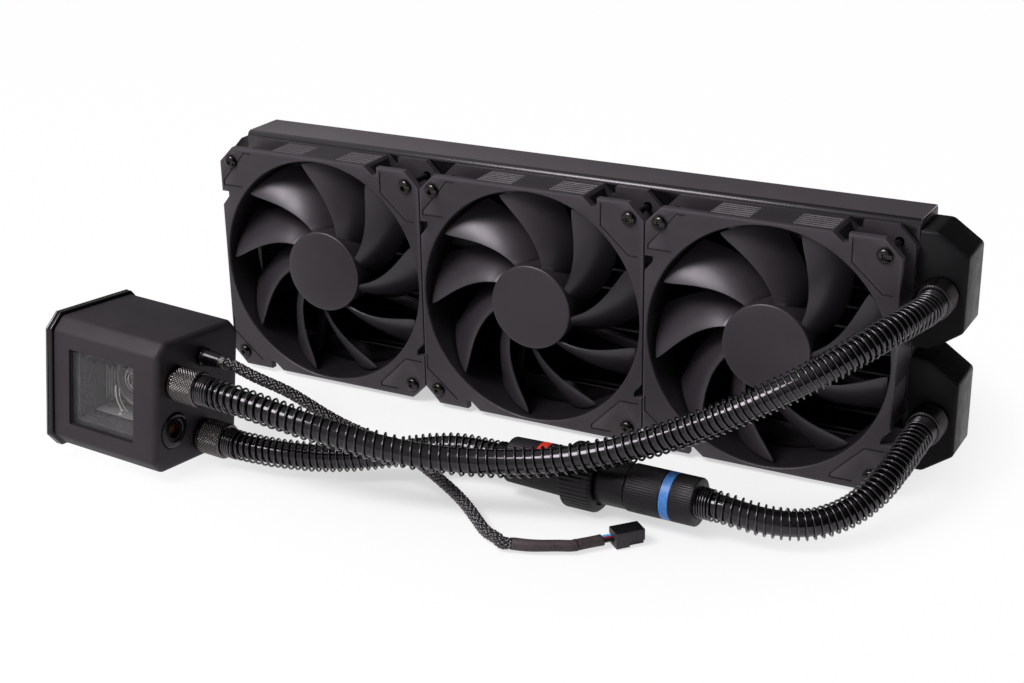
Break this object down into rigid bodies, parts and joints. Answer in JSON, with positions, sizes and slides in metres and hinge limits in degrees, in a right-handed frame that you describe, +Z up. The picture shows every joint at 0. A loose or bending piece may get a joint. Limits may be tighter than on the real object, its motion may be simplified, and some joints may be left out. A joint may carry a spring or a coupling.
{
  "type": "all in one liquid cooler",
  "caption": "Liquid cooler for a processor: a long radiator with slim fans, sprung hoses with a quick-release coupling, and a square pump block with a window.",
  "frame": {"origin": "centre of the flat underside of the radiator's bottom channel, which stands on the floor", "axes": "+X along the radiator towards the hose end, -Y towards the fans and the pump block, +Z up"},
  "size_m": [0.3972, 0.1916, 0.124],
  "materials": {
    "fan_plastic": "satin",
    "screw_steel": "black plated",
    "radiator_metal": "satin black",
    "fitting_metal": "black nickel",
    "block_plastic": "satin",
    "window_clear": "clear",
    "pump_plastic": "smoky clear",
    "flange_gloss": "glossy black",
    "plate_metal": "satin dark",
    "copper": "machined copper",
    "rubber_black": "glossy",
    "coupling_plastic": "satin",
    "band_red": "satin",
    "band_blue": "satin",
    "braid": "woven",
    "shrink": "satin",
    "wire_blue": "satin",
    "wire_red": "satin",
    "wire_black": "satin",
    "connector": "matte"
  },
  "bodies": {
    "cooler": {"fan_1_frame": "fan_plastic", "fan_2_frame": "fan_plastic", "fan_3_frame": "fan_plastic", "screw_1_tl": "screw_steel", "screw_1_tr": "screw_steel", "screw_1_bl": "screw_steel", "screw_1_br": "screw_steel", "screw_2_tl": "screw_steel", "screw_2_tr": "screw_steel", "screw_2_bl": "screw_steel", "screw_2_br": "screw_steel", "screw_3_tl": "screw_steel", "screw_3_tr": "screw_steel", "screw_3_bl": "screw_steel", "screw_3_br": "screw_steel", "radiator_core": "radiator_metal", "radiator_channel_top": "radiator_metal", "radiator_channel_bottom": "radiator_metal", "end_tank_upper": "radiator_metal", "end_tank_lower": "radiator_metal", "return_tank": "radiator_metal", "header_plate_left": "radiator_metal", "header_plate_right": "radiator_metal", "fitting_base_block_upper": "fitting_metal", "fitting_base_block_lower": "fitting_metal", "fitting_base_tank_upper": "fitting_metal", "fitting_base_tank_lower": "fitting_metal", "collar_block_upper": "fitting_metal", "collar_block_lower": "fitting_metal", "collar_tank_upper": "fitting_metal", "collar_tank_lower": "fitting_metal", "pump_housing": "block_plastic", "pump_window": "window_clear", "pump_volute": "pump_plastic", "base_flange": "flange_gloss", "cable_gland": "flange_gloss", "base_plate": "plate_metal", "cold_plate": "copper", "hose_upper": "rubber_black", "hose_lower_block": "rubber_black", "hose_lower_tank": "rubber_black", "coupling_socket": "coupling_plastic", "coupling_barrel": "coupling_plastic", "coupling_sleeve": "coupling_plastic", "band_red": "band_red", "band_blue": "band_blue", "cable_sleeve": "braid", "cable_heat_shrink": "shrink", "cable_tail": "shrink", "cable_wire_blue": "wire_blue", "cable_wire_red": "wire_red", "cable_wire_black": "wire_black", "cable_connector": "connector"},
    "fan_rotor_1": {"fan_1_rotor": "fan_plastic"},
    "fan_rotor_2": {"fan_2_rotor": "fan_plastic"},
    "fan_rotor_3": {"fan_3_rotor": "fan_plastic"},
    "impeller": {"pump_impeller": "pump_plastic"},
    "plug": {"fill_plug": "flange_gloss", "plug_seal": "rubber_black"},
    "nut": {"coupling_nut": "coupling_plastic"}
  },
  "joints": [
    {"name": "fan_1_spin", "type": "hinge", "parent": "cooler", "child": "fan_rotor_1", "pos_m": [-0.1203, -0.0395, 0.062], "axis": [0, -1, 0], "continuous": true},
    {"name": "fan_2_spin", "type": "hinge", "parent": "cooler", "child": "fan_rotor_2", "pos_m": [0, -0.0395, 0.062], "axis": [0, -1, 0], "continuous": true},
    {"name": "fan_3_spin", "type": "hinge", "parent": "cooler", "child": "fan_rotor_3", "pos_m": [0.1203, -0.0395, 0.062], "axis": [0, -1, 0], "continuous": true},
    {"name": "impeller_spin", "type": "hinge", "parent": "cooler", "child": "impeller", "pos_m": [-0.14992, -0.14399, 0.03802], "axis": [-0.0251, -0.995, 0.0971], "continuous": true},
    {"name": "plug_travel", "type": "slide", "parent": "cooler", "child": "plug", "axis": [0.9985, -0.0296, -0.046], "range_m": [0, 0.012]},
    {"name": "coupling_nut_turn", "type": "hinge", "parent": "cooler", "child": "nut", "pos_m": [0.06409, -0.106, 0.0152], "axis": [0.9997, -0.0258, 0], "continuous": true}
  ]
}
